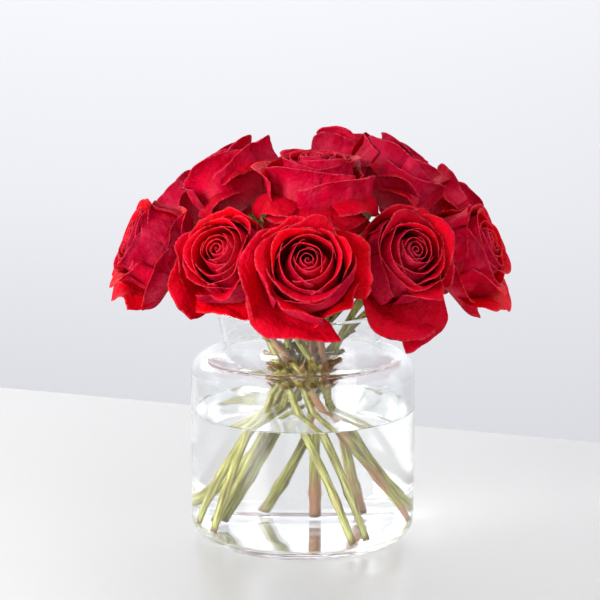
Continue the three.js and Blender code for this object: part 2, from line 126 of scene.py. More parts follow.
# One bloom's outer petals lap over its neighbour's: over, under, how far the plane between them leans, and
# how far it stands off towards the lower one.
laps = [
    ("front", "front_left", 0.2, 6),
    ("front", "front_right", 0.2, 4),
    ("front", "top_front", 0.1, -11),
    ("front_left", "left", -0.1, 16),
    ("front_right", "right", -0.15, 7),
    ("front_left", "top_left", 0.1, -10),
    ("front_left", "top_front", 0, -8),
    ("front_right", "top_right", 0.1, -9),
    ("front_right", "top_front", 0, -8),
    ("top_front", "top_left", 0.1, 7),
    ("top_front", "top_right", 0.1, 7),
    ("top_left", "top_back", 0, 13),
    ("back_left", "top_left", 0, 5),
    ("back_right", "top_right", 0, 4),
]
# A bloom's depth, where along it its middle is, how near another one is a neighbour, how sharply its petals
# draw in between neighbours, how clear of the planes between them, and the least room they leave it.
bloom = dict(depth=45, middle=0.55, nearby=130, squeeze=6, clear=0.45, leastRoom=0.5)


# The direction of an azimuth, rising by some degrees.
def heading(turn, rise=0):
    turn, rise = math.radians(turn), math.radians(rise)
    return np.array([math.sin(turn) * math.cos(rise), -math.cos(turn) * math.cos(rise), math.sin(rise)])


def unit(v):
    return v / np.linalg.norm(v)


def mix(a, b, share):
    return a + (b - a) * share


def smooth(low, high, x):
    t = np.clip((x - low) / (high - low), 0, 1)
    return t * t * (3 - 2 * t)


# A rose's own frame: the base of its bloom, its axis, and right and up across its face.
def roseFrame(rose):
    axis = heading(rose["faceTurn"], rose["faceRise"])
    face = heading(rose["turn"]) * rose["reach"]
    face[2] = rose["height"]
    depth = bloom["depth"] * rose["size"]
    base = face - axis * depth
    right = unit(np.cross([0, 0, 1], axis))
    up = np.cross(axis, right)
    return dict(axis=axis, base=base, right=right, up=up, middle=base + axis * depth * bloom["middle"])


roseFrames = [roseFrame(rose) for rose in roses]


# The planes that part a bloom from its neighbours.
def wallsOf(index):
    own, normals, offsets = roseFrames[index], [], []
    for i, other in enumerate(roseFrames):
        away = other["middle"] - own["middle"]
        distance = np.linalg.norm(away)
        if i == index or distance > bloom["nearby"]:
            continue
        away = away / distance
        pair = (roses[i]["name"], roses[index]["name"])
        lean, shift = 0, 0
        for over, under, tilt, standOff in laps:
            if over in pair and under in pair:
                sign = 1 if over == roses[index]["name"] else -1
                lean, shift = -tilt * sign, standOff * sign
        normal = unit(away + unit(own["axis"] + other["axis"]) * lean)
        share = roses[index]["size"] / (roses[index]["size"] + roses[i]["size"])
        normals.append(normal)
        offsets.append(normal @ (own["middle"] + away * (distance * share + shift)) - bloom["clear"])
    return np.array(normals), np.array(offsets)


# How far points of a bloom draw in towards its axis, as a share, so that they stay between those planes.
def roomAt(points, own, walls):
    normals, offsets = walls
    height = (points - own["base"]) @ own["axis"]
    middle = own["base"] + height[..., None] * own["axis"]
    room = np.maximum(offsets - middle @ normals.T, bloom["leastRoom"])
    crowd = np.maximum(((points - middle) @ normals.T) / room, 0)
    return (1 + (crowd ** bloom["squeeze"]).sum(-1)) ** (-1 / bloom["squeeze"])


# Moves points of a bloom to a share of their distance from its axis.
def drawIn(points, own, share):
    height = (points - own["base"]) @ own["axis"]
    middle = own["base"] + height[..., None] * own["axis"]
    return middle + (points - middle) * share[..., None]


# Points of a bloom's frame as places round the vase.
def placed(local, own):
    x, y, z = local
    return own["base"] + x[..., None] * own["right"] + y[..., None] * own["up"] + z[..., None] * own["axis"]


def meshObject(bm, name, materials, smoothFaces=True):
    mesh = bpy.data.meshes.new(name)
    bm.to_mesh(mesh)
    bm.free()
    for material in materials:
        mesh.materials.append(material)
    if smoothFaces:
        mesh.shade_smooth()
    piece = bpy.data.objects.new(name, mesh)
    scene.collection.objects.link(piece)
    return piece


# Makes the function that adds nodes to a tree. What comes from another node is linked, and the rest is set.
def nodeMaker(tree):
    def add(kind, values=None, **settings):
        node = tree.nodes.new(kind)
        for key, value in settings.items():
            setattr(node, key, value)
        for key, value in (values or {}).items():
            if isinstance(value, bpy.types.NodeSocket):
                tree.links.new(value, node.inputs[key])
            else:
                node.inputs[key].default_value = value
        return node

    return add


def newMaterial(name):
    material = bpy.data.materials.new(name)
    material.use_nodes = True
    material.node_tree.nodes.clear()
    return material, nodeMaker(material.node_tree)


def noiseOf(add, where, scale, detail=2, roughness=0.5, distortion=0):
    values = {"Vector": where, "Scale": scale, "Detail": detail, "Roughness": roughness}
    return add("ShaderNodeTexNoise", {**values, "Distortion": distortion}).outputs["Fac"]


def rampOf(add, source, stops):
    ramp = add("ShaderNodeValToRGB", {0: source})
    elements = ramp.color_ramp.elements
    while len(elements) < len(stops):
        elements.new(0.5)
    for element, (place, colour) in zip(elements, stops):
        element.position = place
        element.color = (*colour, 1)
    return ramp.outputs[0]


# How far a value is from low to high, as a share between least and most.
def shareOf(add, value, low, high, least=0, most=1):
    values = {"Value": value, "From Min": low, "From Max": high, "To Min": least, "To Max": most}
    return add("ShaderNodeMapRange", values).outputs[0]


def productOf(add, a, b):
    return add("ShaderNodeMath", {0: a, 1: b}, operation="MULTIPLY").outputs[0]


def layerOver(add, share, below, above, kind="MIX"):
    values = {"Factor": share, "A": below, "B": above}
    return add("ShaderNodeMix", values, data_type="RGBA", blend_type=kind).outputs["Result"]


def bumpOf(add, height, strength, distance, under=None):
    values = {"Height": height, "Strength": strength, "Distance": distance}
    if under:
        values["Normal"] = under
    return add("ShaderNodeBump", values).outputs[0]


petalLook = dict(
    deep=(0.46, 0.0, 0.003),
    body=(0.78, 0.0, 0.011),
    bright=(0.88, 0.0, 0.026),
    # the rim's lighter pink is a painted highlight
    edge=(0.92, 0.12, 0.19),
    # on the face the claw is painted darker as shade in the crevices; under it the claw's pink is its own
    # colour
    paintedShadeAtClaw=(0.24, 0.0, 0.003),
    underRoot=(0.62, 0.07, 0.11),
    under=(0.6, 0.0, 0.032),
    underBright=(0.78, 0.03, 0.08),
    scorch=(0.06, 0.0, 0.002),
)


# Rose petal: veins fan out from the claw, the rim has a painted highlight, the face is painted darker at the
# claw as shade, and a few rims are scorched dark.
def petalMaterial(name, body, bright, root, roughness, sheen):
    material, add = newMaterial(name)
    spot = add("ShaderNodeTexCoord").outputs["Object"]
    chart = add("ShaderNodeUVMap", uv_map="petalMap").outputs[0]
    along = add("ShaderNodeSeparateXYZ", {0: chart}).outputs["Y"]
    toneAndShade = add("ShaderNodeAttribute", attribute_name="petalToneAndShade").outputs["Fac"]

    # broad drifts of tone over the whole bloom
    drift = noiseOf(add, spot, 60, detail=6, roughness=0.62)
    tone = rampOf(add, drift, [(0.25, petalLook["deep"]), (0.47, body), (0.74, bright)])

    # each petal a little lighter or darker than the next, and whole roses darker or lighter as painted shade
    # and light
    varied = add("ShaderNodeHueSaturation", {
        "Hue": shareOf(add, toneAndShade, 0, 1, 0.4975, 0.501),
        "Value": shareOf(add, toneAndShade, 0, 1, 0.6, 1.26),
        "Color": tone,
    })

    # veins: fine noise stretched along the petal
    stretched = add("ShaderNodeMapping", {"Vector": chart, "Scale": (34, 2.2, 1)})
    veins = noiseOf(add, stretched.outputs[0], 1, detail=4, distortion=0.5)
    veinTone = rampOf(add, veins, [(0.36, (0.7, 0.7, 0.7)), (0.62, (1, 1, 1))])
    colour = layerOver(add, 0.35, varied.outputs[0], veinTone, kind="MULTIPLY")

    # painted highlight: the last of the rim is lighter, broken up by the veins
    broken = shareOf(add, veins, 0.38, 0.6, least=0.2)
    rim = productOf(add, shareOf(add, along, 0.965, 1, most=0.45), broken)
    colour = layerOver(add, rim, colour, (*petalLook["edge"], 1))

    # scorched spots along it
    patches = shareOf(add, noiseOf(add, spot, 95), 0.6, 0.7)
    scorch = productOf(add, shareOf(add, along, 0.955, 1, most=0.85), patches)
    colour = layerOver(add, scorch, colour, (*petalLook["scorch"], 1))

    # the claw's tone: on the face painted shade, darker deep inside the rose; under it the claw's own paler
    # pink
    colour = layerOver(add, shareOf(add, along, 0.62, 0.1, most=0.7), colour, (*root, 1))

    # velvet grain and veins over broader crumples
    grain = noiseOf(add, spot, 2600)
    relief = add("ShaderNodeMath", {0: grain, 1: 0.25, 2: veins}, operation="MULTIPLY_ADD").outputs[0]
    crumpled = bumpOf(add, noiseOf(add, spot, 150, detail=3, distortion=0.6), 0.8, 0.0036)
    shader = add("ShaderNodeBsdfPrincipled", {
        "Base Color": colour,
        "Normal": bumpOf(add, relief, 0.5, 0.0006, under=crumpled),
        "Roughness": roughness,
        "Specular IOR Level": 0.05,
        "Sheen Weight": sheen,
        "Sheen Roughness": 0.35,
        "Sheen Tint": (1, 0.12, 0.2, 1),
        "Subsurface Weight": 0.08,
        "Subsurface Radius": (1, 0.12, 0.1),
        "Subsurface Scale": 0.0025,
    })
    add("ShaderNodeOutputMaterial", {"Surface": shader.outputs[0]})
    return material


stemLook = dict(
    green=(0.25, 0.25, 0.045),
    pale=(0.47, 0.46, 0.16),
    dark=(0.12, 0.08, 0.014),
    red=(0.34, 0.14, 0.085),
    cut=(0.17, 0.09, 0.03),
)


# Rose stem: green with long paler streaks, and bark that reddens in patches.
def stemMaterial(name, redness):
    material, add = newMaterial(name)
    spot = add("ShaderNodeTexCoord").outputs["Object"]
    bark = add("ShaderNodeAttribute", attribute_name="barkPlace").outputs["Vector"]
    streaks = noiseOf(add, bark, 2.3, detail=4)
    stops = [(0.36, stemLook["dark"]), (0.5, stemLook["green"]), (0.66, stemLook["pale"])]
    greens = rampOf(add, streaks, stops)
    patches = noiseOf(add, spot, 26, detail=3)
    reddened = shareOf(add, patches, 0.66 - redness, 0.8 - redness, most=0.85)
    colour = layerOver(add, reddened, greens, (*stemLook["red"], 1))
    # bare pith on cut ends and leaf scars
    cut = add("ShaderNodeAttribute", attribute_name="cutEnd").outputs["Fac"]
    colour = layerOver(add, cut, colour, (*stemLook["cut"], 1))
    shader = add("ShaderNodeBsdfPrincipled", {
        "Base Color": colour,
        "Normal": bumpOf(add, streaks, 0.4, 0.0005),
        "Roughness": 0.46,
        "Specular IOR Level": 0.4,
        "Subsurface Weight": 0.08,
        "Subsurface Radius": (0.6, 1, 0.2),
        "Subsurface Scale": 0.0015,
    })
    add("ShaderNodeOutputMaterial", {"Surface": shader.outputs[0]})
    return material


# Clear glass or water that lets the lamps' light through to what is behind it.
def clearMaterial(name, tint, ior, rippleScale, rippleDepth):
    material, add = newMaterial(name)
    spot = add("ShaderNodeTexCoord").outputs["Object"]
    shader = add("ShaderNodeBsdfPrincipled", {
        "Base Color": (*tint, 1),
        "Normal": bumpOf(add, noiseOf(add, spot, rippleScale), 0.2, rippleDepth),
        "Roughness": 0,
        "IOR": ior,
        "Transmission Weight": 1,
    })
    passing = add("ShaderNodeBsdfTransparent", {"Color": (*tint, 1)})
    shadow = add("ShaderNodeLightPath").outputs["Is Shadow Ray"]
    chosen = add("ShaderNodeMixShader", {0: shadow, 1: shader.outputs[0], 2: passing.outputs[0]})
    add("ShaderNodeOutputMaterial", {"Surface": chosen.outputs[0]})
    return material


petalUnder = petalMaterial(
    "petalUnderside", petalLook["under"], petalLook["underBright"], petalLook["underRoot"],
    roughness=0.6, sheen=0.05,
)
petalFace = petalMaterial(
    "petalFace", petalLook["body"], petalLook["bright"], petalLook["paintedShadeAtClaw"],
    roughness=0.5, sheen=0.04,
)
stemGreen = stemMaterial("stemGreen", redness=0.02)
stemRed = stemMaterial("stemReddened", redness=0.24)
vaseGlass = clearMaterial("clearGlass", (0.99, 0.996, 0.998), ior=1.48, rippleScale=18, rippleDepth=0.0002)
vaseWater = clearMaterial("clearWater", (0.988, 0.995, 0.998), ior=1.333, rippleScale=30, rippleDepth=0.0001)
print("roses in a vase: materials made")


# Petals change shape from the tight middle of a bloom (rank 0) to its open cup (rank 1). rim and belly are
# distance from the bloom's axis and height. A rim rolls outwards by roll, in degrees, round rollRadius.
petalStages = [
    dict(rank=0, rim=(1.2, 39), belly=(8, 14), spread=118, roll=6, rollRadius=2, rollStart=0.8),
    dict(rank=0.35, rim=(10.5, 40), belly=(18, 10), spread=100, roll=26, rollRadius=2.4, rollStart=0.8),
    dict(rank=0.5, rim=(16.5, 39), belly=(25, 9), spread=88, roll=62, rollRadius=3.4, rollStart=0.76),
    dict(rank=0.75, rim=(22, 33), belly=(31, 6), spread=74, roll=88, rollRadius=7.5, rollStart=0.64),
    dict(rank=1, rim=(26, 23), belly=(34, 3), spread=62, roll=104, rollRadius=11, rollStart=0.54),
]
# Groups of nested petals: how many, between which ranks, and cells across and along each.
petalLayers = [
    dict(count=9, ranks=(0.0, 0.31), cells=(16, 9)),
    dict(count=6, ranks=(0.37, 0.62), cells=(22, 13)),
    dict(count=6, ranks=(0.7, 1), cells=(26, 18)),
]
# Tears along a rim and waves in a petal are (pace, size) across it. Its room is tried at roomShares along it.
petalForm = dict(
    goldenTurn=137.5,
    thickness=0.34,
    guardCells=(28, 20),
    tears=((4.5, 1), (10, 0.5), (23, 0.35)),
    waves=((3.2, 0.6), (6.5, 0.4), (13, 0.16)),
    roomShares=(0.2, 0.4, 0.6, 0.8, 0.9, 1.0),
)


# A nested petal's shape, between the two stages nearest its rank.
def nestedShape(rank, size, flare, draw):
    after = next(i for i, stage in enumerate(petalStages) if stage["rank"] >= rank and i > 0)
    a, b = petalStages[after - 1], petalStages[after]
    share = (rank - a["rank"]) / (b["rank"] - a["rank"])

    def between(key):
        return mix(a[key], b[key], share)

    def pair(key):
        return [mix(a[key][i], b[key][i], share) * size for i in (0, 1)]

    rim = pair("rim")
    opened = 1 + 0.3 * flare * rank**2.5
    return dict(
        root=(mix(1.5, 4.5, rank) * size, mix(7, 2, rank) * size),
        belly=pair("belly"),
        rim=(rim[0] * opened, rim[1]),
        spread=between("spread") * draw.uniform(0.86, 1.08),
        roll=between("roll") * draw.uniform(0.76, 1.3) / opened,
        rollRadius=between("rollRadius") * size,
        rollStart=between("rollStart"),
        wrap=mix(1, 0.85, rank),
        tuck=mix(0.6, 1.6, rank) * size,
        corner=mix(0.06, 0.5, rank),
        tipPlace=mix(0, 0.42, rank) * draw.uniform(-1, 1),
        tipRound=mix(2.2, draw.uniform(0.65, 1.15), rank),
        sideRoll=mix(0, 5, rank) * size * draw.uniform(0.4, 1.2),
        sway=mix(0, 0.3, rank) * draw.uniform(-1, 1),
        ripple=mix(0.14, 1.5, rank),
        ragged=mix(0.006, 0.017, rank),
        crease=mix(0, 0.8, rank) * draw.uniform(0, 1),
    )


# An outer petal rises from under the cup to its belly and rolls over at its reach.
def guardShape(reach, lift, spread, size, flare, draw):
    belly = (mix(reach * 0.66, 19, flare), mix(mix(2, lift, 0.1), lift * 1.25, flare))
    return dict(
        root=(5 * size, mix(1.2, 5, flare)),
        belly=(belly[0] * size, belly[1] * size),
        rim=((reach - 11) * size, (lift - 4) * size),
        spread=spread * 1.15,
        roll=80 * draw.uniform(0.8, 1.15),
        rollRadius=11,
        rollStart=0.66,
        wrap=0.62,
        tuck=1.2 * size,
        corner=0.36,
        tipPlace=0.3 * draw.uniform(-1, 1),
        tipRound=draw.uniform(0.7, 1.2),
        sideRoll=6 * size * draw.uniform(0.5, 1.2),
        sway=0.5 * draw.uniform(-1, 1),
        ripple=1.7,
        ragged=0.018,
        crease=1.8 * draw.uniform(0.3, 1),
    )


def wavesAt(across, waves, phases):
    return sum(size * np.sin(across * pace + phase) for (pace, size), phase in zip(waves, phases))


# Points of a petal in its bloom's frame: across runs from -1 to 1, along from its root, 0, to its rim, 1.
def petalPoints(shape, turn, across, along, draw):
    # the rim comes to a soft tip, and is torn a little
    aside = np.abs(across - shape["tipPlace"] * (1 - across**2))
    tip = np.sqrt(aside**2 + 0.0015) ** shape["tipRound"]
    drawn = along * (1 + 0.25 * shape["corner"] - shape["corner"] * tip)
    torn = wavesAt(across, petalForm["tears"], draw.uniform(0, 2 * math.pi, 3))
    drawn = drawn + shape["ragged"] * torn * smooth(0.6, 1, along)

    # up from the root, out over the belly and in to where the roll starts
    start = shape["rollStart"]
    reach = np.minimum(drawn / start, 1)
    root, belly, rim = shape["root"], shape["belly"], shape["rim"]

    def curve(i):
        return (1 - reach) ** 2 * root[i] + 2 * (1 - reach) * reach * belly[i] + reach**2 * rim[i]

    def slope(i):
        return 2 * (1 - reach) * (belly[i] - root[i]) + 2 * reach * (rim[i] - belly[i])

    length = np.hypot(slope(0), slope(1))
    outX, outZ = slope(0) / length, slope(1) / length

    # the roll of the rim, more of it at the sides
    past = np.clip((drawn - start) / (1 - start), 0, 1.2)
    roll = math.radians(shape["roll"])
    bend = roll * past * (0.85 + 0.4 * across**2 + shape["sway"] * across)
    straight = max(1 - roll / 1.4, 0) * past * 4
    run = shape["rollRadius"] * np.sin(bend) + straight
    fall = shape["rollRadius"] * (1 - np.cos(bend))
    fall = fall + smooth(0.45, 1, np.abs(across)) * smooth(0.3, 0.9, along) * shape["sideRoll"]

    # ripples, and a crease down the middle
    phases = draw.uniform(0, 2 * math.pi, 4)
    wave = wavesAt(across, petalForm["waves"], phases) + np.sin(along * 5 + across * 2 + phases[3]) * 0.35
    fall = fall + wave * shape["ripple"] * smooth(0.35, 1, along)
    fall = fall + shape["crease"] * np.exp(-((across / 0.16) ** 2)) * smooth(0.2, 0.8, along)

    # wrapped round the bloom's axis, one side tucked under the next petal
    x = curve(0) + outX * run + outZ * fall + shape["tuck"] * across
    z = curve(1) + outZ * run - outX * fall
    width = mix(0.42, 1, smooth(0, 0.6, along))
    bow = math.radians(1) * shape["spread"] * width * across * shape["wrap"]
    sideways = x * np.sin(bow) / shape["wrap"]
    inwards = x * (1 - np.cos(bow)) / shape["wrap"]
    c, s = math.cos(math.radians(turn)), math.sin(math.radians(turn))
    return (x - inwards) * c - sideways * s, (x - inwards) * s + sideways * c, z


# Adds one petal to a bloom's mesh, as a grid bent to shape. Its columns draw in where they lack room.
def addPetal(bm, toneAndShadeLayer, cells, shape, turn, own, walls, toneRangeWithShade, draw):
    made = bmesh.ops.create_grid(bm, x_segments=cells[0], y_segments=cells[1], size=1, calc_uvs=True)
    grid = np.array([v.co[:2] for v in made["verts"]])
    across, along = grid[:, 0], (grid[:, 1] + 1) / 2
    columns = np.unique(across.round(5))
    tryAcross, tryAlong = np.meshgrid(columns, petalForm["roomShares"])
    drawnSoFar = draw.get_state()
    tries = placed(petalPoints(shape, turn, tryAcross, tryAlong, draw), own)
    draw.set_state(drawnSoFar)  # the petal itself gets the same waves
    room = roomAt(tries, own, walls).min(axis=0)
    points = placed(petalPoints(shape, turn, across, along, draw), own)
    points = drawIn(points, own, room[np.searchsorted(columns, across.round(5) - 1e-6)])
    # each rose's tone range also paints the whole rose darker or lighter, as painted shade and light
    tone = mix(*toneRangeWithShade, draw.uniform(0, 1))
    for vert, point in zip(made["verts"], points * mm):
        vert.co = point
        vert[toneAndShadeLayer] = tone


def makeBloom(index):
    rose, own, walls = roses[index], roseFrames[index], wallsOf(index)
    size, flare, toneRangeWithShade = rose["size"], rose["flare"], rose["toneRangeWithShade"]
    draw = np.random.RandomState(300 + index)
    bm = bmesh.new()
    bm.loops.layers.uv.new("petalMap")
    toneAndShadeLayer = bm.verts.layers.float.new("petalToneAndShade")
    turn = rose["spin"]
    for layer in petalLayers:
        for k in range(layer["count"]):
            rank = mix(*layer["ranks"], k / (layer["count"] - 1))
            shape = nestedShape(rank, size, flare, draw)
            addPetal(bm, toneAndShadeLayer, layer["cells"], shape, turn, own, walls, toneRangeWithShade, draw)
            turn += petalForm["goldenTurn"] + draw.uniform(-9, 9)
    for turn, reach, lift, spread in rose["guards"]:
        shape = guardShape(reach, lift, spread, size, flare, draw)
        addPetal(bm, toneAndShadeLayer, petalForm["guardCells"], shape, turn, own, walls, toneRangeWithShade, draw)
    name = "bloom_" + rose["name"]
    piece = meshObject(bm, name + "_petals", [petalUnder, petalFace])
    thicken = piece.modifiers.new("petal thickness", "SOLIDIFY")
    thicken.thickness = petalForm["thickness"] * mm
    thicken.offset = 0
    thicken.material_offset = 1
    thicken.material_offset_rim = 1
    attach(piece, "root")
    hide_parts(name)
    return piece


blooms = [makeBloom(index) for index in range(len(roses))]
print("roses in a vase:", len(blooms), "blooms made")

# A stem runs straight for a while below and above the crossing and under its hip.
# Stubs of leaf stalks, and thorns, are (share of the stem's length, their length, radius).
stem = dict(
    radius=2.6,
    sides=12,
    steps=26,
    floor=6.9,
    crossing=108,
    straightBelow=24,
    straightAbove=26,
    straightUnderHip=16,
    endUnderBloom=5.4,
    hipRings=((-4.2, 3.5), (-2.8, 4.3), (-1.4, 4.7), (-0.2, 4.4)),
    nodeGap=11,
    nodeSwell=0.3,
    barkPace=0.025,
    stubs=((0.45, 8, 1.9), (0.52, 12, 2.1), (0.58, 9, 1.7), (0.66, 7, 1.2)),
    thorns=((0.74, 2.6, 1.0), (0.83, 2.4, 0.9)),
    reddened=(0, 3, 8),
)


def bezier(points, share):
    a, b, c, d = points
    rest = 1 - share
    return a * rest**3 + 3 * b * rest**2 * share + 3 * c * rest * share**2 + d * share**3


# A stem's line from its cut end in the water, through the crossing, to the hip under its bloom.
def stemLine(rose, own):
    tip = heading(rose["tipTurn"]) * rose["tipReach"]
    tip[2] = stem["floor"] + stem["radius"] * 0.55
    crossing = heading(rose["binding"]) * rose["bindingRadius"]
    crossing[2] = stem["crossing"]
    way = unit(crossing - tip)
    end = own["base"] - own["axis"] * stem["endUnderBloom"]
    underEnd = end - own["axis"] * stem["straightUnderHip"]
    low = (tip, mix(tip, crossing, 0.35), crossing - way * stem["straightBelow"], crossing)
    high = (crossing, crossing + way * stem["straightAbove"], underEnd, end)
    shares = np.linspace(0, 1, stem["steps"])
    return [bezier(low, share) for share in shares] + [bezier(high, share) for share in shares[1:]]


# The matrix that stands a shape at a place, turned to its new right and up.
def standing(place, right, up):
    turned = Matrix((right, np.cross(up, right), up)).transposed().to_4x4()
    turned.translation = Vector(place * mm)
    return turned


def edgesOf(verts):
    inside = set(verts)
    return [edge for edge in {e for v in verts for e in v.link_edges} if set(edge.verts) <= inside]


# A tube round a line of centres, each with its radius, closed at both ends. Its bark runs lengthways.
def addTube(bm, centres, radii, bark):
    side = unit(np.cross([0, 0, 1], centres[1] - centres[0]) + np.array([1e-6, 0, 0]))
    rings, length = [], 0
    for i, (centre, radius) in enumerate(zip(centres, radii)):
        along = unit(centres[min(i + 1, len(centres) - 1)] - centres[max(i - 1, 0)])
        side = unit(side - along * (side @ along))
        ring = bmesh.ops.create_circle(
            bm, segments=stem["sides"], radius=radius * mm, matrix=standing(centre, side, along),
        )["verts"]
        length += np.linalg.norm(centre - centres[i - 1]) if i else 0
        for k, vert in enumerate(ring):
            around = 2 * math.pi * k / stem["sides"]
            vert[bark] = (math.cos(around), math.sin(around), length * stem["barkPace"])
        rings.append(ring)
    ends = [edgesOf(rings[0]), edgesOf(rings[-1])]
    for lower, upper in zip(rings, rings[1:]):
        bmesh.ops.bridge_loops(bm, edges=edgesOf(lower) + edgesOf(upper))
    for edges in ends:
        bmesh.ops.contextual_create(bm, geom=edges)
    return rings


sepal = dict(count=5, cells=(4, 9), length=23, curl=13, width=2.5, root=3.6, thickness=0.7)


# A thin leaf that leaves the hip outwards and curls down under the bloom.
def addSepal(bm, own, turn, length, curl):
    made = bmesh.ops.create_grid(bm, x_segments=sepal["cells"][0], y_segments=sepal["cells"][1], size=1)
    verts = made["verts"]
    c, s = math.cos(turn), math.sin(turn)
    for vert in verts:
        across, along = vert.co.x, (vert.co.y + 1) / 2
        waist = 0.7 + 0.3 * math.sin(min(along * 2.2, 1) * math.pi / 2)
        width = (sepal["width"] * (1 - along) ** 0.8 + 0.25) * waist
        out = sepal["root"] + length * 0.62 * math.sin(along * 1.45)
        fall = -1.2 - curl * along**1.9 - 0.8 * across**2 * (1 - along)
        aside = width * across + math.sin(along * 3 + turn) * 0.9 * along
        point = own["base"] + own["axis"] * fall
        point = point + own["right"] * (out * c - aside * s) + own["up"] * (out * s + aside * c)
        vert.co = Vector(point * mm)
    faces = list({face for vert in verts for face in vert.link_faces})
    bmesh.ops.solidify(bm, geom=faces, thickness=sepal["thickness"] * mm)


# Cut leaf stalks and a few blunt thorns, pointing out from the stem.
def addSpurs(bm, centres, cutEnd, draw):
    kinds = (
        (stem["stubs"], dict(lift=0.75, taper=0.8, bare=0.85)),
        (stem["thorns"], dict(lift=0.1, taper=0.1, bare=0.4)),
    )
    for spurs, kind in kinds:
        for share, length, radius in spurs:
            i = int(share * (len(centres) - 2)) + 1
            along = unit(centres[i + 1] - centres[i - 1])
            flat = np.array([1, 1, 0])
            outward = unit(centres[i] * flat + draw.uniform(-9, 9, 3) * flat)
            lean = unit(outward * 0.8 + along * kind["lift"])
            side = unit(np.cross(lean, along) + 1e-6)
            place = centres[i] + lean * (stem["radius"] * 0.6 + length / 2)
            made = bmesh.ops.create_cone(
                bm, cap_ends=True, segments=8, depth=length * mm, matrix=standing(place, side, lean),
                radius1=radius * 1.35 * mm, radius2=radius * kind["taper"] * mm,
            )
            for vert in made["verts"]:
                vert[cutEnd] = kind["bare"]


# The stem swells a little at its nodes.
def stemRadii(index, count, draw):
    nodes = [6 + draw.uniform(-2, 2) + stem["nodeGap"] * k for k in range(5)]
    radii = []
    for i in range(count):
        swell = stem["nodeSwell"] * max(math.exp(-((i - node) ** 2)) for node in nodes)
        radii.append(stem["radius"] * (0.94 + 0.05 * math.sin(i * 0.9 + index) + swell))
    radii[0] = stem["radius"] * 0.96
    return radii


def makeStem(index):
    rose, own = roses[index], roseFrames[index]
    draw = np.random.RandomState(700 + index)
    line = stemLine(rose, own)
    radii = stemRadii(index, len(line), draw)
    hip = [own["base"] + own["axis"] * height for height, radius in stem["hipRings"]]
    radii += [radius for height, radius in stem["hipRings"]]
    bm = bmesh.new()
    cutEnd = bm.verts.layers.float.new("cutEnd")
    bark = bm.verts.layers.float_vector.new("barkPlace")
    rings = addTube(bm, line + hip, radii, bark)
    for vert in rings[0]:
        vert[cutEnd] = 1
    addSpurs(bm, line, cutEnd, draw)
    for k in range(sepal["count"]):
        turn = math.radians(rose["spin"] + 360 / sepal["count"] * k) + draw.uniform(-0.12, 0.12)
        addSepal(bm, own, turn, sepal["length"] + draw.uniform(-3, 3), sepal["curl"] + draw.uniform(-4, 4))
    bmesh.ops.recalc_face_normals(bm, faces=bm.faces)
    name = "stem_" + rose["name"]
    look = stemRed if index in stem["reddened"] else stemGreen
    piece = meshObject(bm, name + "_green", [look])
    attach(piece, "root")
    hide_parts(name)
    return piece


stems = [makeStem(index) for index in range(len(roses))]
print("roses in a vase:", len(stems), "stems made")

vase = dict(
    bodyRadius=75, heelRadius=13, shoulderStart=112, shoulderDrop=12, shoulderEase=3, neckRadius=54,
    lipRadius=58, height=156, wall=3.2, floor=6.5, segments=420, bendSteps=18, neckSteps=16, lipSteps=14,
)


# Points of an arc round (x, z), from a start to an end in degrees.
def arc(x, z, radius, start, end, steps):
    turns = [math.radians(mix(start, end, i / steps)) for i in range(steps + 1)]
    return [(x + radius * math.cos(turn), z + radius * math.sin(turn)) for turn in turns]


# The vase's profile from the middle of its base up to its neck, grown inwards by inset.
def vaseProfile(inset, bottom):
    side = vase["bodyRadius"] - inset
    heel = max(vase["heelRadius"] - inset, 4)
    drop = vase["shoulderDrop"]
    # the shoulder bends in on one arc and up into the neck on another, and the two meet at split
    bend = vase["bodyRadius"] - vase["neckRadius"] - drop + vase["shoulderEase"]
    bendX = vase["bodyRadius"] - bend
    neckX = vase["neckRadius"] + drop
    rise = math.sqrt((bend + drop) ** 2 - (bendX - neckX) ** 2)
    split = math.degrees(math.atan2(rise, neckX - bendX))
    return [
        (0, bottom),
        *arc(side - heel, bottom + heel, heel, -90, 0, vase["bendSteps"]),
        *arc(bendX, vase["shoulderStart"], bend - inset, 0, split, vase["bendSteps"]),
        *arc(neckX, vase["shoulderStart"] + rise, drop + inset, 180 + split, 180, vase["neckSteps"])[1:],
    ]


# Turns a profile of (radius, height) round the vase's axis. Flat facets, many of them, refract truly.
def spun(profile, name, material):
    bm = bmesh.new()
    verts = [bm.verts.new((x * mm, 0, z * mm)) for x, z in profile]
    edges = [bm.edges.new(pair) for pair in zip(verts, verts[1:])]
    bmesh.ops.spin(
        bm, geom=verts + edges, axis=(0, 0, 1), cent=(0, 0, 0), dvec=(0, 0, 0),
        angle=2 * math.pi, steps=vase["segments"], use_merge=True,
    )
    bmesh.ops.remove_doubles(bm, verts=bm.verts, dist=1e-6)
    bmesh.ops.recalc_face_normals(bm, faces=bm.faces)
    return meshObject(bm, name, [material], smoothFaces=False)


lipRound = vase["wall"] / 2
lip = arc(vase["lipRadius"] - lipRound, vase["height"] - lipRound, lipRound, -10, 190, vase["lipSteps"])
glassProfile = [*vaseProfile(0, 0), *lip, *reversed(vaseProfile(vase["wall"], vase["floor"]))]
glass = spun(glassProfile, "vase_glass", vaseGlass)
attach(glass, "root")
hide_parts("vase")

# The water runs a little into the glass and climbs it at its edge: meniscus is (distance from it, climb).
water = dict(level=87, overlap=0.12, meniscus=((0, 1.1), (0.6, 0.45), (1.6, 0.1), (3, 0)))
wetInset = vase["wall"] - water["overlap"]
wetProfile = vaseProfile(wetInset, vase["floor"] - water["overlap"])
wet = [point for point in wetProfile if point[1] < water["level"] - 2]
wetEdge = vase["bodyRadius"] - wetInset
meniscus = [(wetEdge - inwards, water["level"] + climb) for inwards, climb in water["meniscus"]]
flatTop = [(wetEdge * 0.5, water["level"]), (0, water["level"])]
pool = spun([*wet, *meniscus, *flatTop], "vase_water", vaseWater)
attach(pool, "root")
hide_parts("water")
print("roses in a vase: vase and water made")

